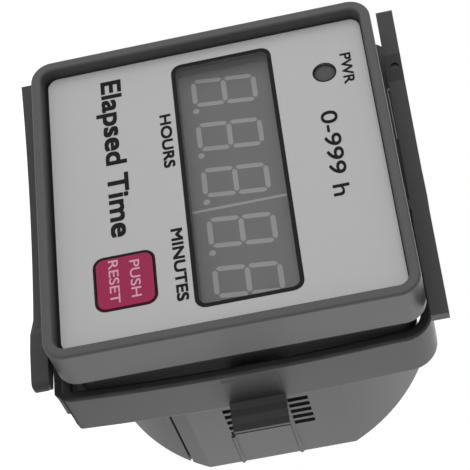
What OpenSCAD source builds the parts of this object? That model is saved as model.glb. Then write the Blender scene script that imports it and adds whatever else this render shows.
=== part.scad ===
// Panel-mounted hour meter: a square bezel with a printed face, LED digits and
// a reset key, a round body with four flats, a plug base, and the sprung
// adapter that slides up the body to clamp it in a panel.
// Every piece is drawn face up, with the panel seat at height 0, and is then
// turned so that the face looks along -Y, +Y runs into the panel and +Z is up.

/* [Bezel] */
// Side of the square bezel
front_size = 48; // [44:0.5:54]
// Depth from the rim's front to the panel seat
bezel_depth = 7; // [6.6:0.1:8]
// Corner radius of the bezel
front_corner_r = 3; // [2.4:0.1:4]
// Thickness of the rim and skirt
rim_wall = 1.5; // [1.4:0.05:1.8]
// Rounding of the rim's front edges
rim_round = 0.4; // [0.2:0.05:0.5]
// Step from the rim down to the printed face
face_step = 1.8; // [1.4:0.1:2]
// Thickness of the floor behind the face
floor_t = 1.6; // [1.4:0.1:1.8]

/* [Face] */
// Thickness of the printed overlay
overlay_t = 0.4; // [0.3:0.05:0.5]
// Gap between the overlay and the rim
overlay_gap = 0.35; // [0.25:0.05:0.45]
// Height of the display window
window_h = 12.9; // [12:0.1:13.8]
// Window centre, to the right of the face centre
window_x = -0.4; // [-0.6:0.1:0.2]
// Window centre, above the face centre
window_z = 2.6; // [2:0.1:3.2]
// Corner radius of the window
window_r = 0.95; // [0.7:0.05:1.4]
// Thickness of the window pane
pane_t = 0.8; // [0.6:0.05:1]
// Width of the pane's printed border
pane_border = 0.55; // [0.4:0.05:0.7]

/* [Display] */
// Digits in the hours display
hour_digits = 3; // [3:1:3]
// Digits in the minutes display
minute_digits = 2; // [2:1:2]
// Height of a digit
digit_h = 9.1; // [8.4:0.1:9.8]
// Width of a digit
digit_w = 4.8; // [4.4:0.1:5.2]
// Width of a segment
stroke_w = 0.7; // [0.5:0.05:0.8]
// Lean of the digits, in degrees
digit_lean = 6; // [3:0.5:8]
// Depth of a display block
block_depth = 7.2; // [6.6:0.1:7.8]
// Width of the seam strip between the blocks
seam_w = 0.4; // [0.3:0.05:0.5]

/* [Lamp and key] */
// Lamp centre's distance inside the body's bore
lamp_in = 1.8; // [1.6:0.1:2.4]
// Lamp centre's angle round the body
lamp_turn = 129.9; // [125:0.1:135]
// Diameter of the lamp
lamp_d = 3; // [2.6:0.1:3.2]
// Key centre's distance inside the body's bore
key_in = 4.6; // [4.2:0.1:5.2]
// Key centre's angle round the body
key_turn = -44.6; // [-48:0.1:-42]
// Side of the square key
key_size = 7.5; // [6.8:0.1:7.8]
// Gap seen around the key
key_gap = 0.4; // [0.3:0.05:0.5]
// Corner radius of the key
key_r = 1.1; // [0.8:0.1:1.4]
// Travel of the key
key_travel = 0.5; // [0.3:0.05:0.6]

/* [Body] */
// How far the round corners stand out past the flats
body_out = 2.4; // [2.1:0.05:2.8]
// Depth of the body behind the panel seat
body_depth = 33; // [29:0.5:40]
// Wall of the body case
case_wall = 1.5; // [1.3:0.05:1.7]
// Depth of the square collar behind the panel seat
square_depth = 6; // [5:0.1:7]
// Corner radius of the square collar
square_r = 2.5; // [2:0.1:3]
// Slots in the latch rack
rack_slots = 5; // [4:1:6]
// Distance from slot to slot
rack_pitch = 1.65; // [1.5:0.05:1.8]
// Width of a slot
slot_w = 1; // [0.7:0.05:1.1]
// Length of a slot
slot_len = 11.8; // [10:0.1:13]
// First slot's distance behind the panel seat
rack_start = 17.4; // [16.5:0.1:18.5]

/* [Plug base] */
// Contact pins on the base
pin_count = 8; // [8:1:8]
// Diameter of the circle that the pins stand on
pin_circle = 17.45; // [16:0.05:19]
// Diameter of a contact pin
pin_d = 2.4; // [2.2:0.05:2.6]
// Length of a contact pin outside the base
pin_len = 11.2; // [10:0.1:12.4]
// Diameter of the locating post
post_d = 7.8; // [7.2:0.1:8.6]
// Length of the locating post
post_len = 12.7; // [12:0.1:14]
// Thickness of the base plate
base_t = 2.5; // [2:0.1:3]

/* [Adapter] */
// Gap between the adapter and the body's flats
adapter_gap = 0.6; // [0.5:0.05:0.8]
// Wall of the adapter
adapter_wall = 1.5; // [1.3:0.05:1.8]
// Radius of the adapter's two round corners
adapter_corner_r = 4; // [3.4:0.1:4.6]
// Depth of the adapter's frame
adapter_depth = 8.3; // [7.4:0.1:9.2]
// Distance from the panel seat to the adapter's frame
adapter_pos = 3.4; // [3.2:0.1:4]
// Outward bow of the two latch sides
side_bow = 0.5; // [0.3:0.05:0.7]
// Width of a leaf spring
spring_w = 2.3; // [2:0.05:2.6]
// Thickness of a leaf spring
spring_t = 1.3; // [1.1:0.05:1.5]
// How far a spring's ends stand ahead of its middle
spring_bow = 2; // [1.6:0.05:2.2]
// How far a spring's ends reach past the frame
spring_over = 0.5; // [0.2:0.05:0.8]
// Width of a latch's finger tab
latch_w = 7.5; // [6.6:0.1:8.2]
// Reach of a finger tab out from the frame
tab_reach = 3.8; // [3.2:0.1:4.4]
// Length of a latch arm behind the frame
latch_len = 6.5; // [5.8:0.1:7.2]

/* [Hidden] */
$fn = 64;

// Clearances: a snug fit, a loose fit, and a drilled hole around a wire
fit = 0.1;
loose = 0.3;
wire_play = 0.15;
// A small overlap that joins two shapes of one piece
join = 0.3;

// Heights of the front, from the panel seat up
face_h = bezel_depth - face_step;
floor_top = face_h - overlay_t;
floor_bot = floor_top - floor_t;
half = front_size / 2;
skirt_in = half - rim_wall;
skirt_r = front_corner_r - rim_wall;
flange_t = 1.2;
snap_len = 12;
overlay_up = 0.2;
snap_groove = [0.4, 0.7];
snap_bead = [0.25, 0.5];

// The body: its flats line up with its square collar, which fits inside the skirt
flat = skirt_in - fit;
body_r = flat + body_out;
bore_flat = flat - case_wall;
bore_r = body_r - case_wall;

// Boards, from the front back
board_t = 1.6;
board_play = 0.4;
display_top = floor_bot - fit;
board_top = display_top - block_depth;
board_bot = board_top - board_t;
board_spacing = 11.3;
main_top = board_bot - board_spacing;
main_bot = main_top - board_t;
base_top = -body_depth + base_t;

// Display blocks: they fill the bore's width, with the seam strip between them
display_play = 0.45;
block_edge = 1;
block_lap = 0.55;
window_lap = 0.15;
digits_w = 2 * (bore_flat - display_play - block_edge);
digit_pitch = (digits_w - seam_w) / (hour_digits + minute_digits);
hours_x = -digits_w / 2;
minutes_x = hours_x + hour_digits * digit_pitch + seam_w;
seam_shift = 0.45;
seam_x = minutes_x - seam_w - seam_shift;
window_w = digits_w - 2 * window_lap;
block_h = window_h + 2 * block_lap;
pane_w = window_w + 2 * pane_border;
pane_h = window_h + 2 * pane_border;
pane_r = window_r + pane_border;
digit_shift = -0.35;
digit_drop = 0.2;
segment_gap = 0.16;
segment_depth = 0.4;
point_d = 0.9;
point_gap = 0.75;
pin_pitch = 2.54;
pin_row = 5.08;
block_pin_d = 0.6;
pin_tail = 1.8;

// Screws: posts on the bezel carry the display board, bosses in the case carry
// the main board and the plug base
screw_d = 2.2;
screw_head_d = 4.2;
screw_head_h = 1.5;
screw_len = 7;
screw_slot = [2.5, 0.6, 0.6];
post_wall = 1.3;
post_r = screw_d / 2 + post_wall;
post_circle = bore_r - post_r - loose;
boss_r = 3;
boss_sink = 0.4;
boss_circle = bore_r - boss_r + boss_sink;

// Key, its guide collar and the switch behind it
key_place = (bore_r - key_in) * [cos(key_turn), sin(key_turn)];
key_proud = 0.05;
key_hole = key_size + 2 * key_gap;
key_hole_r = key_r + key_gap;
key_flange_over = 0.6;
key_flange = key_hole + 2 * key_flange_over;
key_flange_t = 0.9;
key_flange_top = floor_bot - fit;
key_flange_bot = key_flange_top - key_flange_t;
collar_play = 0.2;
collar_wall = 0.8;
collar_in = key_flange + 2 * collar_play;
collar_out = collar_in + 2 * collar_wall;
collar_bot = flange_t + loose;
switch_size = 4.5;
switch_h = 3.6;
switch_top = board_top + switch_h;
plunger_d = 2.4;
plunger_in = 1.2;
plunger_out = 1;
plunger_well = plunger_in + key_travel + loose;
plunger_top = switch_top + plunger_out;
stem_d = 3;

// Lamp
lamp_place = (bore_r - lamp_in) * [cos(lamp_turn), sin(lamp_turn)];
lamp_len = 3.6;
lamp_bot = face_h - lamp_len;
lamp_rim = 0.4;
lamp_rim_h = 0.9;
lamp_dome_h = 0.3;
lamp_dome_r = (pow(lamp_d / 2, 2) + pow(lamp_dome_h, 2)) / (2 * lamp_dome_h);
lamp_lead_d = 0.5;

// Header between the boards, placed from the bore's lower flat
header_pins_n = 8;
header_edge = 8.9;
header_z = header_edge - bore_flat;
header_w = 2.5;
header_h = 2.5;
header_pin_d = 0.6;
header_tail = 0.8;

// Parts on the main board, each placed from one of the bore's flats
chip_size = [12.8, 7.5, 2.3];
chip_lift = 0.3;
chip_leg = [0.5, 1.2, 1.4];
chip_leg_in = 0.2;
chip_legs = 10;
chip_leg_pitch = 1.27;
chip_edge = 4;
chip_z = 4;
crystal_size = [11.2, 4.6, 3.4];
crystal_edge = 5.6;
cell_d = 12.5;
cell_h = 2.5;
cup_wall = 1;
cup_d = cell_d + 2 * (fit + cup_wall);
cell_edge = 0.95;
cell_z = 1;
contact_head_h = 0.8;
back_space = main_bot - base_top - contact_head_h;
dropper_size = [17.5, 7];
dropper_edge = 2.2;
dropper_free = 1.6;
smoothing_d = 8;
smoothing_edge = 1.9;
smoothing_free = 1.1;
rectifier_size = [6.4, 8.4, 3.2];
rectifier_edge = 2.7;
opto_size = [6.5, 4.6, 3.5];
opto_edge = 3.6;

// Contacts in the plug base: a neck inside the base, a thicker pin outside it
contact_neck_d = 2;
contact_neck_out = 0.3;
contact_head_d = 3.6;
lead_d = 1;
wired_contacts = [1, 3, 4, 6];
key_rib_w = 1.6;
key_rib_h = 1;

// Guide ribs and the seam groove on the body, placed on the +X side
rib_z = [2.8, -5.7];
rib_w = 0.7;
rib_top_w = 0.2;
rib_h = 0.25;
rib_lead = 1.5;
rib_root = 1;
slot_shift = 0.1;
groove_turn = -32.3;
groove_w = 0.5;
groove_depth = 0.6;
rack_end = rack_start + (rack_slots - 0.5) * rack_pitch;

// Adapter: frame, springs and latches
adapter_in = flat + adapter_gap;
adapter_out = adapter_in + adapter_wall;
adapter_round = 0.4;
adapter_top = -adapter_pos;
adapter_bot = adapter_top - adapter_depth;
straight = adapter_out - adapter_corner_r;
sharp_r = 1;
bow_lap = 1;
bow_r = (pow(straight - bow_lap, 2) + pow(side_bow, 2)) / (2 * side_bow);
bow_turn = asin((straight - bow_lap / 2) / bow_r);
bow_x = adapter_out + side_bow - bow_r;
sharp_turn = asin((adapter_out - fit) / bow_r);
sharp_x = bow_x + bow_r * cos(sharp_turn);
spring_half = adapter_out + spring_over;
spring_r = (pow(spring_half, 2) + pow(spring_bow, 2)) / (2 * spring_bow);
spring_mid = -0.3;
spring_foot = 0.7;
spring_tilt = 0.7;
spring_end_r = 0.5;
spring_shift = [-0.35, 0.15];
foot_flat = 5.5;
foot_len = 8.2;
foot_drop = 0.35;
foot_ramp = 3.3;
foot_round = 1.2;
lip_start = 23.6;
lip_h = 0.4;
lip_set = 1;
lip_depth = 3.5;
round_steps = 8;
bridge_w = 10;
bridge_depth = 6.5;
dimple_d = 1.2;
dimple_depth = 0.15;
latch_pad = 0.1;
pad_ramp = 1.4;
pad_sink = 0.1;
tab_root = 1.4;
tab_edge = 0.5;
tab_scoop = 0.1;
arm_w = 5.8;
arm_shift = -0.7;
arm_t = 1.6;
pawl_clear = 0.1;
pawl_h = 1;

// Turns a face-up drawing to its place
module upright() {
    rotate([90, 0, 0]) children();
}

// A flat shape between two heights
module slab(low, high) {
    translate([0, 0, low]) linear_extrude(height = high - low) children();
}

// A rod between two heights
module rod(d, low, high) {
    translate([0, 0, low]) cylinder(d = d, h = high - low);
}

module round_rect(w, h, r) {
    square([w - 2 * r, h], center = true);
    square([w, h - 2 * r], center = true);
    for (x = [-1, 1], y = [-1, 1])
        translate([x * (w / 2 - r), y * (h / 2 - r)]) circle(r);
}

// The body's outline: a circle cut by four flats
module body_shape(r, f) {
    intersection() {
        circle(r, $fn = 128);
        square(2 * f, center = true);
    }
}

// A board's outline, free of the case's wall
module board_shape() {
    body_shape(bore_r - board_play, bore_flat - board_play);
}

// Places a child at every angle of a list, r from the centre
module at_angles(angles, r) {
    for (a = angles) rotate(a) translate([r, 0, 0]) children();
}

// Copies a child to the opposite side of the body
module opposite() {
    for (a = [0, 180]) rotate(a) children();
}

// A pan-head screw with a cross slot, pointing down from height 0
module pan_screw() {
    difference() {
        union() {
            rod(screw_d, -screw_len, 0);
            rod(screw_head_d, 0, screw_head_h);
        }
        for (a = [0, 90]) rotate(a)
            translate([-screw_slot[0] / 2, -screw_slot[1] / 2, screw_head_h - screw_slot[2]])
                cube([screw_slot[0], screw_slot[1], screw_slot[2] + join]);
    }
}

// Seven segments and a point, drawn round the middle of a digit
function leaned(p) = [p[0] + p[1] * tan(digit_lean), p[1]];
function bar(half_len) = let (s = stroke_w / 2) [
    [-half_len, 0], [-half_len + s, s], [half_len - s, s],
    [half_len, 0], [half_len - s, -s], [-half_len + s, -s]];

module digit() {
    x = (digit_w - stroke_w) / 2;
    z = (digit_h - stroke_w) / 2;
    for (row = [-z, 0, z])
        polygon([for (p = bar(x - segment_gap)) leaned([p[0], p[1] + row])]);
    for (side = [-x, x], row = [-z / 2, z / 2])
        polygon([for (p = bar(z / 2 - segment_gap)) leaned([p[1] + side, p[0] + row])]);
    translate(leaned([digit_w / 2 + point_gap, -z])) circle(d = point_d, $fn = 32);
}

module digits(start, n) {
    for (k = [0:n - 1])
        translate([start + (k + 0.5) * digit_pitch + digit_shift, window_z - digit_drop]) digit();
}

module segments(start, n) {
    slab(display_top - segment_depth, display_top) digits(start, n);
}

// A display block between two places, with pockets for n digits
module display_block(from, to, start, n) {
    difference() {
        slab(board_top, display_top)
            translate([from, window_z - block_h / 2]) square([to - from, block_h]);
        slab(display_top - segment_depth, display_top + join) digits(start, n);
    }
}

// Two rows of pins under a block, centred on its digits
module pin_rows(start, n) {
    columns = n + 3;
    middle = start + n * digit_pitch / 2;
    for (k = [0:columns - 1], row = [-pin_row, pin_row])
        translate([middle + (k - (columns - 1) / 2) * pin_pitch, window_z + row, 0]) children();
}

module all_pin_rows() {
    pin_rows(hours_x, hour_digits) children();
    pin_rows(minutes_x, minute_digits) children();
}

module lamp_leads() {
    translate(lamp_place) rotate(lamp_turn)
        for (side = [-1, 1]) translate([0, side * pin_pitch / 2, 0]) children();
}

module header_places() {
    for (k = [0:header_pins_n - 1])
        translate([(k - (header_pins_n - 1) / 2) * pin_pitch, header_z, 0]) children();
}

module contact_places(list) {
    at_angles([for (k = list) (k + 0.5) * 360 / pin_count], pin_circle / 2) children();
}

// Bezel: rim, floor, key collar and the posts for the display board
module rim_section() {
    translate([skirt_r, 0]) square([rim_wall, bezel_depth - rim_round]);
    translate([skirt_r + rim_round, 0]) square([rim_wall - 2 * rim_round, bezel_depth]);
    for (u = [skirt_r + rim_round, front_corner_r - rim_round])
        translate([u, bezel_depth - rim_round]) circle(rim_round, $fn = 32);
}

// A section swept round a square, with round corners centred at c
module square_sweep(c) {
    for (k = [0:3]) rotate(90 * k) translate([c, c, 0]) {
        rotate([90, 0, 0]) linear_extrude(height = 2 * c) children();
        rotate_extrude(angle = 90) children();
    }
}

// Four straight snaps round the collar, each with a depth and a height
module snaps(size, len) {
    for (k = [0:3]) rotate(90 * k)
        translate([flat - join, -len / 2, flange_t / 2 - size[1] / 2])
            cube([size[0] + fit + join, len, size[1]]);
}

module front_bezel() {
    floor_side = 2 * (skirt_in + join);
    color("dimgray") upright() difference() {
        union() {
            square_sweep(half - front_corner_r) rim_section();
            slab(floor_bot, floor_top) round_rect(floor_side, floor_side, skirt_r);
            slab(collar_bot, floor_bot + join) translate(key_place) difference() {
                square(collar_out, center = true);
                square(collar_in, center = true);
            }
            at_angles([45, 225], post_circle) rod(2 * post_r, board_top, floor_bot + join);
        }
        slab(floor_bot - join, floor_top + join) {
            translate([window_x, window_z]) round_rect(window_w, window_h, window_r);
            translate(key_place) round_rect(key_hole, key_hole, key_hole_r);
        }
        slab(face_h - pane_t, floor_top + join) translate([window_x, window_z])
            round_rect(pane_w + fit, pane_h + fit, pane_r);
        translate(lamp_place) rod(lamp_d + 2 * wire_play, floor_bot - join, floor_top + join);
        at_angles([45, 225], post_circle)
            rod(screw_d + fit, board_top - join, board_top + screw_len - board_t + loose);
        snaps(snap_groove, snap_len);
    }
}

module face_overlay() {
    side = 2 * (skirt_in - overlay_gap);
    color("lightgray") upright() difference() {
        slab(floor_top, face_h) translate([0, overlay_up]) round_rect(side, side, skirt_r);
        slab(floor_top - join, face_h + join) {
            translate([window_x, window_z]) round_rect(pane_w + fit, pane_h + fit, pane_r);
            translate(key_place) round_rect(key_hole, key_hole, key_hole_r);
        }
        translate(lamp_place) rod(lamp_d + 2 * wire_play, floor_top - join, face_h + join);
    }
}

// The pane lies flush with the overlay
module display_window() {
    color([0.3, 0.3, 0.32, 0.4]) upright() translate([window_x, window_z, 0])
        slab(face_h - pane_t, face_h) round_rect(pane_w, pane_h, pane_r);
}

module hours_display() {
    color("gray") upright() display_block(hours_x - block_edge, seam_x, hours_x, hour_digits);
}

module hours_segments() {
    color("silver") upright() segments(hours_x, hour_digits);
}

module minutes_display() {
    color("gray") upright()
        display_block(seam_x + seam_w, -hours_x + block_edge, minutes_x, minute_digits);
}

module minutes_segments() {
    color("silver") upright() segments(minutes_x, minute_digits);
}

module display_seam() {
    color("silver") upright() slab(board_top, display_top)
        translate([seam_x, window_z - block_h / 2]) square([seam_w, block_h]);
}

module display_pins() {
    color("silver") upright() all_pin_rows() rod(block_pin_d, board_bot - pin_tail, board_top);
}

module power_lamp() {
    color("darkslategray") upright() {
        translate(lamp_place) {
            rod(lamp_d, lamp_bot, face_h - lamp_dome_h);
            intersection() {
                translate([0, 0, face_h - lamp_dome_r]) sphere(lamp_dome_r);
                rod(lamp_d, face_h - lamp_dome_h - join, face_h + join);
            }
            rod(lamp_d + 2 * lamp_rim, lamp_bot, lamp_bot + lamp_rim_h);
        }
        lamp_leads() rod(lamp_lead_d, board_bot - pin_tail, lamp_bot + join);
    }
}

module reset_key() {
    color("crimson") upright() translate(key_place) {
        slab(key_flange_bot, face_h + key_proud) round_rect(key_size, key_size, key_r);
        slab(key_flange_bot, key_flange_top) square(key_flange, center = true);
        rod(stem_d, plunger_top, key_flange_bot + join);
    }
}

module switch_plunger() {
    color("black") upright() translate(key_place)
        rod(plunger_d, switch_top - plunger_in, plunger_top);
}

module tact_switch() {
    color("dimgray") upright() translate(key_place) difference() {
        slab(board_top, switch_top) square(switch_size, center = true);
        rod(plunger_d + 2 * wire_play, switch_top - plunger_well, switch_top + join);
    }
}

module display_board() {
    low = board_bot - join;
    high = board_top + join;
    color("darkgreen") upright() difference() {
        slab(board_bot, board_top) board_shape();
        all_pin_rows() rod(block_pin_d + 2 * wire_play, low, high);
        lamp_leads() rod(lamp_lead_d + 2 * wire_play, low, high);
        header_places() rod(header_pin_d + 2 * wire_play, low, high);
        at_angles([45, 225], post_circle) rod(screw_d + loose, low, high);
    }
}

module display_screws() {
    color("silver") upright() at_angles([45, 225], post_circle)
        translate([0, 0, board_bot]) rotate([180, 0, 0]) pan_screw();
}

module header_housing() {
    len = header_pins_n * pin_pitch;
    color("black") upright() difference() {
        translate([-len / 2, header_z - header_w / 2, main_top]) cube([len, header_w, header_h]);
        header_places() rod(header_pin_d + fit, main_top - join, main_top + header_h + join);
    }
}

module header_pins() {
    color("gold") upright() header_places()
        rod(header_pin_d, main_bot - header_tail, board_top + header_tail);
}

module main_board() {
    low = main_bot - join;
    high = main_top + join;
    color("darkgreen") upright() difference() {
        slab(main_bot, main_top) board_shape();
        header_places() rod(header_pin_d + 2 * wire_play, low, high);
        contact_places(wired_contacts) rod(lead_d + 2 * wire_play, low, high);
        at_angles([135, 315], boss_circle) rod(screw_d + loose, low, high);
    }
}

module main_screws() {
    color("silver") upright() at_angles([135, 315], boss_circle)
        translate([0, 0, main_top]) pan_screw();
}

// A small-outline package on its legs, on the main board's front
module microcontroller() {
    color("black") upright() translate([bore_flat - chip_edge - chip_size[0] / 2, chip_z, main_top]) {
        translate([-chip_size[0] / 2, -chip_size[1] / 2, chip_lift]) cube(chip_size);
        for (k = [0:chip_legs - 1], a = [0, 180]) rotate(a)
            translate([(k - (chip_legs - 1) / 2) * chip_leg_pitch - chip_leg[0] / 2,
                       chip_size[1] / 2 - chip_leg_in, 0])
                cube(chip_leg);
    }
}

module clock_crystal() {
    middle = (crystal_size[0] - crystal_size[1]) / 2;
    color("silver") upright() translate([0, bore_flat - crystal_edge - crystal_size[1] / 2, 0])
        slab(main_top, main_top + crystal_size[2]) {
            square([2 * middle, crystal_size[1]], center = true);
            for (side = [-1, 1]) translate([side * middle, 0]) circle(d = crystal_size[1]);
        }
}

// The cell lies in a round cup on the main board's front
module at_cell() {
    translate([cell_edge + cup_d / 2 - bore_flat, cell_z, main_top]) children();
}

module cell_holder() {
    color("black") upright() at_cell() difference() {
        rod(cup_d, 0, cup_wall + cell_h);
        rod(cell_d + 2 * fit, cup_wall, cup_wall + cell_h + join);
    }
}

module backup_cell() {
    color("silver") upright() at_cell() rod(cell_d, cup_wall, cup_wall + cell_h);
}

// A block that hangs from the main board's back
module back_block(place, size) {
    translate([place[0] - size[0] / 2, place[1] - size[1] / 2, main_bot - size[2]]) cube(size);
}

module dropper_capacitor() {
    place = [0, bore_flat - dropper_edge - dropper_size[1] / 2];
    color("goldenrod") upright()
        back_block(place, [dropper_size[0], dropper_size[1], back_space - dropper_free]);
}

module smoothing_capacitor() {
    color("midnightblue") upright()
        translate([smoothing_edge + smoothing_d / 2 - bore_flat, 0, 0])
            rod(smoothing_d, main_bot - back_space + smoothing_free, main_bot);
}

module bridge_rectifier() {
    color("black") upright()
        back_block([bore_flat - rectifier_edge - rectifier_size[0] / 2, 0], rectifier_size);
}

module input_optocoupler() {
    color("black") upright()
        back_block([0, opto_edge + opto_size[1] / 2 - bore_flat], opto_size);
}

// Case: square collar, round body with flats, bosses, latch racks and guide ribs
module case_racks() {
    opposite() {
        for (k = [0:rack_slots - 1])
            translate([bore_flat - join, slot_shift - slot_len / 2,
                       -rack_start - k * rack_pitch - slot_w / 2])
                cube([case_wall + 2 * join, slot_len, slot_w]);
        rotate(groove_turn) translate([body_r - groove_depth, -groove_w / 2, -body_depth - join])
            cube([groove_depth + join, groove_w, body_depth - square_depth + join]);
    }
}

module case_ribs() {
    starts = [rack_start - rib_lead, rack_end];
    opposite() for (k = [0:1]) translate([flat, rib_z[k]])
        slab(-body_depth, -starts[k])
            polygon([[-rib_root, -rib_w / 2], [0, -rib_w / 2], [rib_h, -rib_top_w / 2],
                     [rib_h, rib_top_w / 2], [0, rib_w / 2], [-rib_root, rib_w / 2]]);
}

module body_case() {
    step = case_wall - square_depth;
    color("dimgray") upright() {
        case_ribs();
        difference() {
            union() {
                slab(-body_depth, 0) body_shape(body_r, flat);
                slab(-square_depth, flange_t) round_rect(2 * flat, 2 * flat, square_r);
                snaps(snap_bead, snap_len - loose);
            }
            slab(step, flange_t + join) round_rect(2 * bore_flat, 2 * bore_flat, square_r);
            difference() {
                slab(-body_depth - join, step + join) body_shape(bore_r, bore_flat);
                at_angles([45, 135, 225, 315], boss_circle) rod(2 * boss_r, base_top, main_bot);
            }
            case_racks();
            at_angles([135, 315], boss_circle)
                rod(screw_d + fit, main_bot - screw_len, main_bot + join);
            at_angles([45, 225], boss_circle)
                rod(screw_d + fit, base_top - join, base_top + screw_len);
        }
    }
}

module plug_base() {
    color("black") upright() difference() {
        union() {
            slab(-body_depth, base_top) body_shape(bore_r - fit, bore_flat - fit);
            rod(post_d, -body_depth - post_len, base_top);
            translate([-key_rib_w / 2, 0, -body_depth - post_len])
                cube([key_rib_w, post_d / 2 + key_rib_h, post_len + join]);
        }
        contact_places([0:pin_count - 1])
            rod(contact_neck_d + fit, -body_depth - join, base_top + join);
        at_angles([45, 225], boss_circle) rod(screw_d + loose, -body_depth - join, base_top + join);
    }
}

module contact_pins() {
    root = -body_depth - contact_neck_out;
    tip = -body_depth - pin_len + pin_d / 2;
    color("silver") upright() contact_places([0:pin_count - 1]) {
        rod(contact_neck_d, root - join, base_top + join);
        rod(pin_d, tip, root);
        translate([0, 0, tip]) sphere(d = pin_d);
        rod(contact_head_d, base_top, base_top + contact_head_h);
    }
}

module contact_leads() {
    color("sandybrown") upright() contact_places(wired_contacts)
        rod(lead_d, base_top + contact_head_h, main_top - loose);
}

module base_screws() {
    color("silver") upright() at_angles([45, 225], boss_circle)
        translate([0, 0, -body_depth]) rotate([180, 0, 0]) pan_screw();
}

// Adapter: the frame's section, with all four edges rounded
module adapter_section() {
    r = adapter_round;
    inner = adapter_corner_r - adapter_wall;
    translate([inner + r, adapter_bot]) square([adapter_wall - 2 * r, adapter_depth]);
    translate([inner, adapter_bot + r]) square([adapter_wall, adapter_depth - 2 * r]);
    for (u = [inner + r, adapter_corner_r - r], v = [adapter_bot + r, adapter_top - r])
        translate([u, v]) circle(r, $fn = 32);
}

// A straight length of wall on the +X side, from y down
module wall_run(y, len) {
    translate([straight, y, 0]) rotate([90, 0, 0]) linear_extrude(height = len) adapter_section();
}

// A bowed length of wall, up from the middle of the +X side
module bowed_run(turn) {
    rotate_extrude(angle = turn, $fn = 2048)
        translate([bow_r - adapter_corner_r, 0]) adapter_section();
}

// Half of the frame: a bowed latch side that runs into a short straight length,
// a round corner and a plain side
module half_frame() {
    translate([bow_x, 0, 0]) {
        bowed_run(bow_turn);
        mirror([0, 1, 0]) bowed_run(sharp_turn);
    }
    wall_run(straight, 2 * bow_lap);
    translate([straight, straight, 0]) rotate_extrude(angle = 90) adapter_section();
    rotate(90) wall_run(sharp_x - join, sharp_x - join + straight);
}

// The whole frame, with the two nearly square corners eased
module frame() {
    difference() {
        opposite() half_frame();
        opposite() slab(adapter_bot - join, adapter_top + join)
            translate([sharp_x - sharp_r, sharp_r - adapter_out]) rotate(-90) difference() {
                square(sharp_r + join);
                circle(sharp_r);
            }
    }
}

// Points round a corner of radius r about a centre, between two angles
function corner(c, r, from, to) =
    [for (k = [0:round_steps]) let (a = from + (to - from) * k / round_steps)
        [c[0] + r * cos(a), c[1] + r * sin(a)]];

// A leaf spring's side view, as (along, height): a bowed strip whose -X end is
// a thicker foot with a rounded end
module spring_profile() {
    centre = spring_mid + spring_r;
    foot_top = spring_mid + spring_bow + spring_foot;
    foot_end = foot_len - spring_half;
    foot_rise = spring_mid + pow(foot_end + foot_ramp, 2) / (2 * spring_r);
    intersection() {
        difference() {
            translate([0, centre]) circle(spring_r + spring_t, $fn = 512);
            translate([0, centre]) circle(spring_r, $fn = 512);
        }
        translate([foot_round / 2 - spring_half, spring_mid - spring_t])
            square([2 * spring_half - foot_round / 2, spring_bow + 2 * spring_t]);
    }
    polygon(concat(
        corner([foot_round - spring_half, foot_top - foot_round], foot_round, 180, 90),
        [[foot_flat - spring_half, foot_top], [foot_end, foot_top - foot_drop],
         [foot_end + foot_ramp, foot_rise],
         [foot_end + foot_ramp, foot_rise - spring_t / 2],
         [foot_round - spring_half, spring_mid + spring_bow - spring_t]]));
}

// A leaf spring's plan, as (along, up), tilted by so much from end to end
module spring_plan(tilt) {
    low = adapter_out + tilt / 2;
    high = low + spring_w;
    r = spring_end_r;
    polygon(concat(
        corner([r - spring_half, low + r], r, 270, 180), corner([r - spring_half, high - r], r, 180, 90),
        [[spring_half, high - tilt], [spring_half, low - tilt]]));
}

// A leaf spring on the +Z side, with a sink mark on its foot, its bridge to the
// frame, and the frame's lip behind it
module leaf_spring(tilt, shift) {
    ramp_mid = foot_len + foot_ramp / 2 - spring_half;
    mark_top = spring_mid + spring_bow + spring_foot;
    mark_low = (mark_top - foot_drop + spring_mid + pow(ramp_mid, 2) / (2 * spring_r)) / 2 - dimple_depth;
    translate([shift, 0, 0]) difference() {
        intersection() {
            translate([0, adapter_out + spring_w + tilt, 0]) rotate([90, 0, 0])
                linear_extrude(height = spring_w + 2 * tilt) spring_profile();
            slab(adapter_top, spring_mid + 2 * spring_bow) spring_plan(tilt);
        }
        translate([ramp_mid, adapter_out + (spring_w + tilt) / 2, 0]) rod(dimple_d, mark_low, mark_top);
    }
    translate([-bridge_w / 2, adapter_out - join, adapter_top - bridge_depth])
        cube([bridge_w, spring_w + join, bridge_depth + spring_mid - spring_t / 2 - adapter_top]);
    translate([-lip_start, adapter_out - join, adapter_top - lip_set - lip_depth])
        cube([lip_start, lip_h + join, lip_depth]);
}

// A latch on the +X side: a ramped pad, a finger tab with two shallow scoops
// that stands out at the frame's rear edge, and an arm whose pawl faces the rack
module latch() {
    skin = adapter_out + side_bow;
    outer = skin + latch_pad;
    root = adapter_bot + tab_root;
    slope = (tab_root - tab_edge) / tab_reach;
    tip = adapter_bot - latch_len;
    across(-latch_w / 2, latch_w)
        polygon(concat(
            [[skin - adapter_wall / 2, adapter_top - adapter_round],
             [skin - pad_sink, adapter_top - adapter_round], [outer, adapter_top - pad_ramp]],
            [for (k = [0:4]) let (run = tab_reach * k / 4)
                [outer + run, root - slope * run - (k % 2) * tab_scoop]],
            [[outer + tab_reach, adapter_bot], [skin - adapter_wall / 2, adapter_bot]]));
    across(arm_shift - arm_w / 2, arm_w)
        polygon([[adapter_in, adapter_bot + tab_root], [skin - adapter_wall / 2, adapter_bot + tab_root],
                 [adapter_in + arm_t, adapter_bot - join], [adapter_in + arm_t, tip],
                 [flat + pawl_clear, tip], [flat + pawl_clear, tip + pawl_h / 2],
                 [adapter_in, tip + 2 * pawl_h]]);
}

// Gives an (outward, height) outline its width across a latch side
module across(start, width) {
    translate([0, start + width, 0]) rotate([90, 0, 0]) linear_extrude(height = width) children();
}

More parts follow.
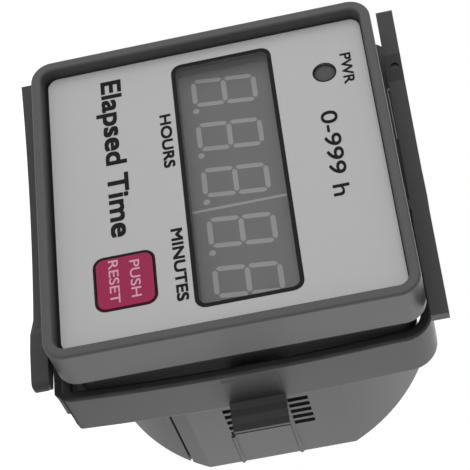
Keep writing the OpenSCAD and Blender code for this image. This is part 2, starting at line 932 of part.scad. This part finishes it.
module mounting_adapter() {
    color("dimgray") upright() {
        frame();
        opposite() latch();
        leaf_spring(spring_tilt, spring_shift[0]);
        rotate(180) leaf_spring(0, spring_shift[1]);
    }
}

front_bezel();
face_overlay();
display_window();
hours_display();
hours_segments();
minutes_display();
minutes_segments();
display_seam();
display_pins();
power_lamp();
reset_key();
switch_plunger();
tact_switch();
display_board();
display_screws();
header_housing();
header_pins();
main_board();
main_screws();
microcontroller();
clock_crystal();
cell_holder();
backup_cell();
dropper_capacitor();
smoothing_capacitor();
bridge_rectifier();
input_optocoupler();
body_case();
plug_base();
contact_pins();
contact_leads();
base_screws();
mounting_adapter();
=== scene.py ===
import math
import bpy
from mathutils import Matrix, Vector


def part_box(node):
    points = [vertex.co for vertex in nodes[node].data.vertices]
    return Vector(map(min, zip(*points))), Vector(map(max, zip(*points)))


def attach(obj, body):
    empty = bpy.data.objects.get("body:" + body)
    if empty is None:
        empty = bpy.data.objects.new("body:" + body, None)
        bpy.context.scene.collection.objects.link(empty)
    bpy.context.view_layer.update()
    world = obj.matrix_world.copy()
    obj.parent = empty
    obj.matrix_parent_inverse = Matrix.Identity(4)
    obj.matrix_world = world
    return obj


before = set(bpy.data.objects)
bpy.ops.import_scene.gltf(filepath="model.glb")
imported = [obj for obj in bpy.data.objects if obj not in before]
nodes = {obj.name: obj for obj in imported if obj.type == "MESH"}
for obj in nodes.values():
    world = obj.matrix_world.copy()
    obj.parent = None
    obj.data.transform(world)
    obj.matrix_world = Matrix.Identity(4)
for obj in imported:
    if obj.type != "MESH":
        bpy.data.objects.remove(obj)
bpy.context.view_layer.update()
mm = 0.001
print("frame loaded,", len(nodes), "pieces")


# sRGB hex to Blender's linear colour
def linear(hexColour):
    parts = [int(hexColour[i:i + 2], 16) / 255 for i in (1, 3, 5)]
    return [c / 12.92 if c <= 0.04045 else ((c + 0.055) / 1.055) ** 2.4 for c in parts] + [1]


def addNode(tree, kind, settings=None, inputs=None):
    node = tree.nodes.new(kind)
    for key, value in (settings or {}).items():
        setattr(node, key, value)
    for socket, value in (inputs or {}).items():
        if isinstance(value, bpy.types.NodeSocket):
            tree.links.new(value, node.inputs[socket])
        else:
            node.inputs[socket].default_value = value
    return node


# What a finish has where its own look says nothing
plainLook = {"metallic": 0, "alpha": 1, "ior": 1.45, "grainMm": 0, "grainDetail": 3}


# A plain shader, with a fine moulded grain where the look gives one
def makeFinish(name, ownLook):
    look = {**plainLook, **ownLook}
    material = bpy.data.materials.new(name)
    material.use_nodes = True
    tree = material.node_tree
    shader = tree.nodes["Principled BSDF"]
    shader.inputs["Base Color"].default_value = linear(look["colour"])
    shader.inputs["Roughness"].default_value = look["roughness"]
    shader.inputs["Metallic"].default_value = look["metallic"]
    shader.inputs["Alpha"].default_value = look["alpha"]
    if not look["metallic"]:
        shader.inputs["IOR"].default_value = look["ior"]
    if look["grainMm"]:
        place = addNode(tree, "ShaderNodeTexCoord")
        grain = addNode(tree, "ShaderNodeTexNoise", {}, {
            "Vector": place.outputs["Object"], "Scale": 1 / (look["grainMm"] * mm),
            "Detail": look["grainDetail"]})
        bump = addNode(tree, "ShaderNodeBump", {}, {
            "Height": grain.outputs["Fac"], "Strength": 1, "Distance": look["grainDepthMm"] * mm})
        tree.links.new(bump.outputs["Normal"], shader.inputs["Normal"])
    return material


# What each piece is made of, and what that gives the eye. A real tool's grain is too fine to show, so
# each grain here is drawn coarser
finishes = {
    # grey ABS, moulded in a fine-etched tool: soft broad highlights
    "mouldedAbs": {"colour": "#484848", "roughness": 0.5, "ior": 1.35, "grainMm": 0.25,
                   "grainDepthMm": 0.004, "pieces": ["front_bezel"]},
    # the same ABS in a darker shade
    "caseAbs": {"colour": "#383838", "roughness": 0.5, "ior": 1.35, "grainMm": 0.25,
                "grainDepthMm": 0.004, "pieces": ["body_case"]},
    # black glass-filled nylon: dark in itself, with a broad grey sheen
    "adapterNylon": {"colour": "#1c1c1c", "roughness": 0.58, "ior": 1.46, "grainMm": 0.3,
                     "grainDepthMm": 0.005, "pieces": ["mounting_adapter"]},
    # screen-printed polycarbonate film, flat and even
    "printedFilm": {"colour": "#a8a8a8", "roughness": 0.5, "grainMm": 0.15, "grainDepthMm": 0.001,
                    "pieces": ["face_overlay"]},
    # smoked acrylic: mostly clear, with a sharp reflection
    "smokedAcrylic": {"colour": "#707070", "roughness": 0.2, "alpha": 0.2, "ior": 1.25,
                      "pieces": ["display_window"]},
    # display housings painted grey in front, so that dark digits stay quiet
    "displayPaint": {"colour": "#747474", "roughness": 0.6, "pieces": ["hours_display", "minutes_display"]},
    # milky epoxy in the segments and the seam
    "milkyEpoxy": {"colour": "#b0b0b0", "roughness": 0.4,
                   "pieces": ["hours_segments", "minutes_segments", "display_seam"]},
    # tinted diffusing epoxy of an unlit lamp
    "lampEpoxy": {"colour": "#383838", "roughness": 0.6, "pieces": ["power_lamp"]},
    # red polycarbonate key with a satin top
    "keyPolycarbonate": {"colour": "#901e48", "roughness": 0.5, "ior": 1.25, "grainMm": 0.2,
                         "grainDepthMm": 0.002, "pieces": ["reset_key"]},
    # black phenolic moulding with a dull sheen
    "phenolic": {"colour": "#1c1c1c", "roughness": 0.4, "grainMm": 0.3, "grainDepthMm": 0.003,
                 "pieces": ["plug_base"]},
    # black nylon, moulded smooth
    "blackNylon": {"colour": "#181818", "roughness": 0.5,
                   "pieces": ["switch_plunger", "tact_switch", "header_housing", "cell_holder"]},
    # glass-epoxy laminate under green solder mask
    "solderMask": {"colour": "#12522e", "roughness": 0.35, "pieces": ["display_board", "main_board"]},
    # black moulding epoxy, matt from the tool
    "chipEpoxy": {"colour": "#202020", "roughness": 0.55,
                  "pieces": ["microcontroller", "bridge_rectifier", "input_optocoupler"]},
    # zinc-plated steel, bright but not polished
    "zincSteel": {"colour": "#b8b8ba", "roughness": 0.3, "metallic": 1,
                  "pieces": ["display_screws", "main_screws", "base_screws"]},
    # nickel plate over steel or brass: bright and smooth
    "nickelPlate": {"colour": "#c4c2bc", "roughness": 0.2, "metallic": 1,
                    "pieces": ["contact_pins", "clock_crystal", "backup_cell"]},
    # tin over brass, a soft grey shine
    "tinnedBrass": {"colour": "#bab6aa", "roughness": 0.35, "metallic": 1,
                    "pieces": ["display_pins", "header_pins", "contact_leads"]},
    # ochre resin box of a film capacitor, and the blue shrunk sleeve of an aluminium can
    "pottedBox": {"colour": "#b8882a", "roughness": 0.35, "pieces": ["dropper_capacitor"]},
    "canSleeve": {"colour": "#28304a", "roughness": 0.35, "pieces": ["smoothing_capacitor"]},
    # screen inks, thin and matt, with hardly any shine; the second of them is also the painted shade laid
    # in the gaps round the face, the key and the lamp
    "darkInk": {"colour": "#161616", "roughness": 0.7, "ior": 1.2, "pieces": []},
    "printAndShadeInk": {"colour": "#1a1a1a", "roughness": 0.7, "ior": 1.2, "pieces": []},
    "keyInk": {"colour": "#c898ac", "roughness": 0.7, "ior": 1.2, "pieces": []},
    # tin-lead solder round the pins, bright where it set
    "solder": {"colour": "#c0c0c0", "roughness": 0.25, "metallic": 1, "pieces": []},
}
materials = {name: makeFinish(name, look) for name, look in finishes.items()}
for name, look in finishes.items():
    for piece in look["pieces"]:
        nodes[piece].data.materials.clear()
        nodes[piece].data.materials.append(materials[name])
print("finishes set,", len(materials))


def addPiece(name, mesh, finish, body):
    mesh.materials.clear()
    mesh.materials.append(materials[finish])
    piece = bpy.data.objects.new(name, mesh)
    bpy.context.scene.collection.objects.link(piece)
    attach(piece, body)


letterSteps = 6  # points on each curve of a letter


# Words as a mesh in the font's own units, flat or raised
def textMesh(words, depth):
    curve = bpy.data.curves.new("words", "FONT")
    curve.body = words
    curve.extrude = depth
    curve.resolution_u = letterSteps
    holder = bpy.data.objects.new("words", curve)
    bpy.context.scene.collection.objects.link(holder)
    bpy.context.view_layer.update()
    evaluated = holder.evaluated_get(bpy.context.evaluated_depsgraph_get())
    mesh = bpy.data.meshes.new_from_object(evaluated)
    bpy.data.objects.remove(holder)
    bpy.data.curves.remove(curve)
    return mesh


fontCap = max(v.co.y for v in textMesh("H", 0).vertices)
inkMm = 0.015
inkLayerMm = inkMm / 8  # each layer of a bold word lies this much over the last
faceY, overlayRearY = [p.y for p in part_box("face_overlay")]
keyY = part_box("reset_key")[0].y
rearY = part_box("body_case")[1].y

# Printed words: where a line starts, ends, stands and reaches, in mm from the face's centre, and how
# much heavier than the font its strokes are
faceWords = {
    "titleWords": {"words": "Elapsed Time", "left": -19.9, "right": 6.4, "base": -14.5,
                   "cap": -11.6, "boldMm": 0.24},
    "hoursWord": {"words": "HOURS", "left": -12.1, "right": -3.1, "base": -6.65,
                  "cap": -5.1, "boldMm": 0.15},
    "minutesWord": {"words": "MINUTES", "left": 6.8, "right": 17.9, "base": -6.65,
                    "cap": -5.1, "boldMm": 0.15},
    "lampWord": {"words": "PWR", "left": -16.4, "right": -11.1, "base": 18.9,
                 "cap": 20.4, "boldMm": 0.1},
    "rangeWords": {"words": "0-999 h", "left": -7.2, "right": 6.7, "base": 15.0,
                   "cap": 17.2, "boldMm": 0.08},
}
keyWords = {
    "keyWordUpper": {"words": "PUSH", "left": 10.4, "right": 16.0, "base": -12.4,
                     "cap": -11.1, "boldMm": 0.04},
    "keyWordLower": {"words": "RESET", "left": 9.9, "right": 16.4, "base": -15.2,
                     "cap": -13.9, "boldMm": 0.04},
}
for words, surfaceY, finish, body, slot in ((faceWords, faceY, "darkInk", "meter", "printed_face"),
                                            (keyWords, keyY, "keyInk", "key", "key_plastic")):
    for name, look in words.items():
        flat = textMesh(look["words"], 0)
        left = min(v.co.x for v in flat.vertices)
        right = max(v.co.x for v in flat.vertices)
        bold = look["boldMm"]
        stretch = (look["right"] - look["left"] - bold) / (right - left)
        rise = (look["cap"] - look["base"] - bold) / fontCap
        points = []
        faces = []
        # a word is laid down four times, shifted by its extra weight, so that its strokes join
        for layer, (alongX, alongZ) in enumerate([(0, 0), (1, 0), (0, 1), (1, 1)]):
            first = len(points)
            for v in flat.vertices:
                points.append(((look["left"] + alongX * bold + (v.co.x - left) * stretch) * mm,
                               surfaceY - (inkMm + layer * inkLayerMm) * mm,
                               (look["base"] + alongZ * bold + v.co.y * rise) * mm))
            faces += [[first + k for k in face.vertices] for face in flat.polygons]
        mesh = bpy.data.meshes.new(name)
        mesh.from_pydata(points, [], faces)
        addPiece(name, mesh, finish, body)
print("words printed,", len(faceWords) + len(keyWords))

# Pin numbers raised on the plug base, counted clockwise from the key rib as seen from behind: the first
# one's place in degrees, the rest in mm
pinNumbers = {"count": 8, "first": 112.5, "ring": 12.6, "cap": 1.7, "raise": 0.12}
look = pinNumbers
for k in range(look["count"]):
    size = look["cap"] / fontCap
    mesh = textMesh(str(k + 1), look["raise"] / size)
    middle = (min(v.co.x for v in mesh.vertices) + max(v.co.x for v in mesh.vertices)) / 2
    turn = math.radians(look["first"] + k * 360 / look["count"])
    for v in mesh.vertices:
        v.co = ((look["ring"] * math.cos(turn) - (v.co.x - middle) * size) * mm,
                rearY + v.co.z * size * mm,
                (look["ring"] * math.sin(turn) + v.co.y * size - look["cap"] / 2) * mm)
    addPiece("pinNumber" + str(k + 1), mesh, "phenolic", "meter")
print("pin numbers raised,", look["count"])


# The openings in the face, each found as the edge points of the face inside a window in mm
openingWindows = {"key": {"x": (5, 20), "z": (-20, -5)}, "lamp": {"x": (-20, -8), "z": (10, 18.5)}}
openings = {}
for name, look in openingWindows.items():
    (left, right), (low, high) = look["x"], look["z"]
    rim = [v.co for v in nodes["face_overlay"].data.vertices
           if left * mm < v.co.x < right * mm and low * mm < v.co.z < high * mm]
    openings[name] = {"x": (min(p.x for p in rim), max(p.x for p in rim)),
                      "z": (min(p.z for p in rim), max(p.z for p in rim)), "surface": faceY}

# Dark rings laid flat: a printed line round the pane's edge, and painted shade in the gaps round the key,
# round the lamp and round the face, on the face's rear level, where those gaps fall into shade. Radius and
# width inside the edge are in mm
paneLow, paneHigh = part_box("display_window")
lampRadius = (openings["lamp"]["x"][1] - openings["lamp"]["x"][0]) / 2 / mm
gapShadeReach = (-22.47 * mm, 22.47 * mm)  # just short of the rim's inner walls
printAndShadeLines = {
    "windowLine": {"x": (paneLow.x, paneHigh.x), "z": (paneLow.z, paneHigh.z), "surface": paneLow.y,
                   "radius": 1.5, "inside": 0.55},
    # the next three are painted shade, not parts: in the gap round the key, in the gap round the lamp, and
    # in the gap between the face and the rim's walls
    "keyGapShade": {**openings["key"], "radius": 1.5, "inside": 0.28},
    "lampGapShade": {**openings["lamp"], "radius": lampRadius, "inside": 0.2},
    "faceGapShade": {"x": gapShadeReach, "z": gapShadeReach, "surface": overlayRearY, "radius": 1.5, "inside": 1.2},
}
cornerSteps = 8


# A rounded rectangle, so many mm inside a line's own edge
def roundedLoop(look, inset):
    radius = look["radius"] * mm
    loop = []
    for corner, (sx, sz) in enumerate([(1, 1), (0, 1), (0, 0), (1, 0)]):
        centreX = look["x"][sx] + (1 - 2 * sx) * radius
        centreZ = look["z"][sz] + (1 - 2 * sz) * radius
        for k in range(cornerSteps + 1):
            turn = math.radians(90 * (corner + k / cornerSteps))
            loop.append((centreX + (radius - inset * mm) * math.cos(turn), look["surface"] - inkMm * mm,
                         centreZ + (radius - inset * mm) * math.sin(turn)))
    return loop


for name, look in printAndShadeLines.items():
    ring = roundedLoop(look, 0) + roundedLoop(look, look["inside"])
    count = len(ring) // 2
    mesh = bpy.data.meshes.new(name)
    mesh.from_pydata(ring, [], [(k, (k + 1) % count, count + (k + 1) % count, count + k)
                                for k in range(count)])
    addPiece(name, mesh, "printAndShadeInk", "meter")
print("lines printed,", len(printAndShadeLines))


# Wedge stops on the frame behind the springs' feet, in mm: the outline's points are x and the share of
# the reach out from the wall, and the ends are y and the reach there
springStops = {"outline": [(15.5, 0), (16.5, 1), (22.9, 1), (24.0, 0)], "wallZ": -24.3,
               "ends": [(3.5, 1.1), (10.8, 0.4)]}
look = springStops
count = len(look["outline"])
faces = [list(range(count)), list(range(2 * count - 1, count - 1, -1))]
faces += [[(k + 1) % count, k, count + k, count + (k + 1) % count] for k in range(count)]
for side, turned in (("left", 1), ("right", -1)):  # the right one is the left one after half a turn
    points = [(turned * x * mm, y * mm, turned * (look["wallZ"] - share * reach) * mm)
              for y, reach in look["ends"] for x, share in look["outline"]]
    mesh = bpy.data.meshes.new(side + "SpringStop")
    mesh.from_pydata(points, [], faces)
    addPiece(side + "SpringStop", mesh, "adapterNylon", "adapter")
print("spring stops set")


# Solder joints: one cone of solder on each pin, where it comes through a board. Points nearer than the
# spacing belong to one pin, and a pin's points count from the reach in front of the display board's rear
solderJoints = {"padMm": 0.85, "pinMm": 0.34, "heightMm": 0.7, "sides": 14, "spacingMm": 1.2, "reachMm": 2}
solderTree = bpy.data.node_groups.new("solderJoints", "GeometryNodeTree")
for name, kind in (("Points", "Geometry"), ("Pad Radius", "Float"), ("Pin Radius", "Float"),
                   ("Height", "Float"), ("Turn", "Float"), ("Finish", "Material")):
    solderTree.interface.new_socket(name, in_out="INPUT", socket_type="NodeSocket" + kind)
solderTree.interface.new_socket("Joints", in_out="OUTPUT", socket_type="NodeSocketGeometry")
given = addNode(solderTree, "NodeGroupInput").outputs
cone = addNode(solderTree, "GeometryNodeMeshCone", {}, {
    "Vertices": solderJoints["sides"], "Radius Top": given["Pin Radius"],
    "Radius Bottom": given["Pad Radius"], "Depth": given["Height"]})
facing = addNode(solderTree, "ShaderNodeCombineXYZ", {}, {"X": given["Turn"]})
joints = addNode(solderTree, "GeometryNodeInstanceOnPoints", {}, {
    "Points": given["Points"], "Instance": cone.outputs["Mesh"], "Rotation": facing.outputs[0]})
solid = addNode(solderTree, "GeometryNodeRealizeInstances", {}, {0: joints.outputs[0]})
coat = addNode(solderTree, "GeometryNodeSetMaterial", {}, {
    "Geometry": solid.outputs[0], "Material": given["Finish"]})
addNode(solderTree, "NodeGroupOutput", {}, {0: coat.outputs[0]})
socketId = {item.name: item.identifier for item in solderTree.interface.items_tree}


# The middle of each pin of a piece, seen along Y, from its points beyond a given depth
def pinPlaces(piece, beyondY):
    groups = []
    near = solderJoints["spacingMm"] * mm
    for v in nodes[piece].data.vertices:
        if v.co.y < beyondY:
            continue
        for group in groups:
            if abs(v.co.x - group[0].x) < near and abs(v.co.z - group[0].z) < near:
                group.append(v.co)
                break
        else:
            groups.append([v.co])
    return [((min(p.x for p in g) + max(p.x for p in g)) / 2,
             (min(p.z for p in g) + max(p.z for p in g)) / 2) for g in groups]


displayFront, displayRear = [p.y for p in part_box("display_board")]
mainFront, mainRear = [p.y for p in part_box("main_board")]
pinsBeyond = displayRear - solderJoints["reachMm"] * mm
jointRows = {
    "displayJoints": {"pieces": ["display_pins", "power_lamp"], "surface": displayRear, "turn": -90},
    "headerJointsFront": {"pieces": ["header_pins"], "surface": displayFront, "turn": 90},
    "headerJointsRear": {"pieces": ["header_pins"], "surface": mainRear, "turn": -90},
    "leadJoints": {"pieces": ["contact_leads"], "surface": mainFront, "turn": 90},
}
for name, look in jointRows.items():
    places = [spot for piece in look["pieces"] for spot in pinPlaces(piece, pinsBeyond)]
    mesh = bpy.data.meshes.new(name)
    mesh.from_pydata([(x, look["surface"], z) for x, z in places], [], [])
    holder = bpy.data.objects.new(name, mesh)
    bpy.context.scene.collection.objects.link(holder)
    grow = holder.modifiers.new("joints", "NODES")
    grow.node_group = solderTree
    grow[socketId["Pad Radius"]] = solderJoints["padMm"] * mm
    grow[socketId["Pin Radius"]] = solderJoints["pinMm"] * mm
    grow[socketId["Height"]] = solderJoints["heightMm"] * mm
    grow[socketId["Turn"]] = math.radians(look["turn"])
    grow[socketId["Finish"]] = materials["solder"]
    bpy.context.view_layer.update()
    evaluated = holder.evaluated_get(bpy.context.evaluated_depsgraph_get())
    grown = bpy.data.meshes.new_from_object(evaluated)
    bpy.data.objects.remove(holder)
    addPiece(name, grown, "solder", "meter")


# Camera at the photograph's viewpoint: the meter's right is down in the picture
view = {"place": (126.86, -176.99, 22.40), "right": (0.1028, 0.1882, 0.9767),
        "down": (0.8214, 0.5378, -0.1900), "lensMm": 124.83, "sensorMm": 36, "nearMm": 10}
camera = bpy.data.objects.new("camera", bpy.data.cameras.new("camera"))
bpy.context.scene.collection.objects.link(camera)
right = Vector(view["right"]).normalized()
up = -Vector(view["down"])
up = (up - up.dot(right) * right).normalized()
turn = Matrix((right, up, right.cross(up))).transposed()
camera.matrix_world = Matrix.Translation(Vector(view["place"]) * mm) @ turn.to_4x4()
camera.data.lens = view["lensMm"]
camera.data.sensor_width = view["sensorMm"]
camera.data.clip_start = view["nearMm"] * mm
bpy.context.scene.camera = camera
print("camera set")


# Soft boxes round the object, aimed at its middle, with places and sizes in mm
lamps = {
    "front": {"place": (-160, -420, -60), "size": 600, "watts": 2.0},
    "rightBehind": {"place": (300, 310, -40), "size": 600, "watts": 1.8},
    "topBehind": {"place": (60, 340, 260), "size": 260, "watts": 0.35},
    "lowBehind": {"place": (40, 330, -75), "size": 80, "watts": 0.12},
    "leftBehind": {"place": (-320, 280, 140), "size": 500, "watts": 2.2},
}
lampTarget = Vector((0, 10, 0)) * mm
for name, look in lamps.items():
    light = bpy.data.lights.new(name, "AREA")
    light.shape = "SQUARE"
    light.size = look["size"] * mm
    light.energy = look["watts"]
    holder = bpy.data.objects.new(name, light)
    bpy.context.scene.collection.objects.link(holder)
    holder.location = Vector(look["place"]) * mm
    holder.rotation_euler = (lampTarget - holder.location).to_track_quat("-Z", "Y").to_euler()
print("lamps set,", len(lamps))


# How much a ray is one that shows the background: from the camera, off gloss or through glass
def showsBackground(tree):
    path = addNode(tree, "ShaderNodeLightPath")
    first = addNode(tree, "ShaderNodeMath", {"operation": "MAXIMUM"}, {
        0: path.outputs["Is Camera Ray"], 1: path.outputs["Is Glossy Ray"]})
    return addNode(tree, "ShaderNodeMath", {"operation": "MAXIMUM"}, {
        0: first.outputs[0], 1: path.outputs["Is Transmission Ray"]}).outputs[0]


# White surroundings: dimmer as a light on the object than as what is seen
studio = {"fill": 0.45, "background": 1.0}
world = bpy.data.worlds.new("studio")
bpy.context.scene.world = world
world.use_nodes = True
tree = world.node_tree
ambient = tree.nodes["Background"]
ambient.inputs["Color"].default_value = (1, 1, 1, 1)
level = addNode(tree, "ShaderNodeMapRange", {}, {
    "Value": showsBackground(tree), "To Min": studio["fill"], "To Max": studio["background"]})
tree.links.new(level.outputs["Result"], ambient.inputs["Strength"])

# Pale floor well below the held meter: mostly its own white, with the soft shadow kept
floor = {"dropMm": 120, "sizeMm": 6000, "colour": (0.9, 0.9, 0.9, 1), "roughness": 0.9, "white": 0.87,
         "glow": 1.08}
half = floor["sizeMm"] / 2 * mm
floorZ = -floor["dropMm"] * mm
mesh = bpy.data.meshes.new("floor")
mesh.from_pydata([(-half, -half, floorZ), (half, -half, floorZ), (half, half, floorZ),
                  (-half, half, floorZ)], [], [(0, 1, 2, 3)])
pale = bpy.data.materials.new("paleFloor")
pale.use_nodes = True
tree = pale.node_tree
shader = tree.nodes["Principled BSDF"]
shader.inputs["Base Color"].default_value = floor["colour"]
shader.inputs["Roughness"].default_value = floor["roughness"]
glow = addNode(tree, "ShaderNodeEmission", {}, {"Strength": floor["glow"]})
share = addNode(tree, "ShaderNodeMath", {"operation": "MULTIPLY"}, {
    0: showsBackground(tree), 1: floor["white"]})
mix = addNode(tree, "ShaderNodeMixShader", {}, {
    0: share.outputs[0], 1: shader.outputs["BSDF"], 2: glow.outputs["Emission"]})
tree.links.new(mix.outputs["Shader"], tree.nodes["Material Output"].inputs["Surface"])
mesh.materials.append(pale)
ground = bpy.data.objects.new("floor", mesh)
bpy.context.scene.collection.objects.link(ground)

bpy.context.scene.view_settings.view_transform = "Standard"
print("scene ready")
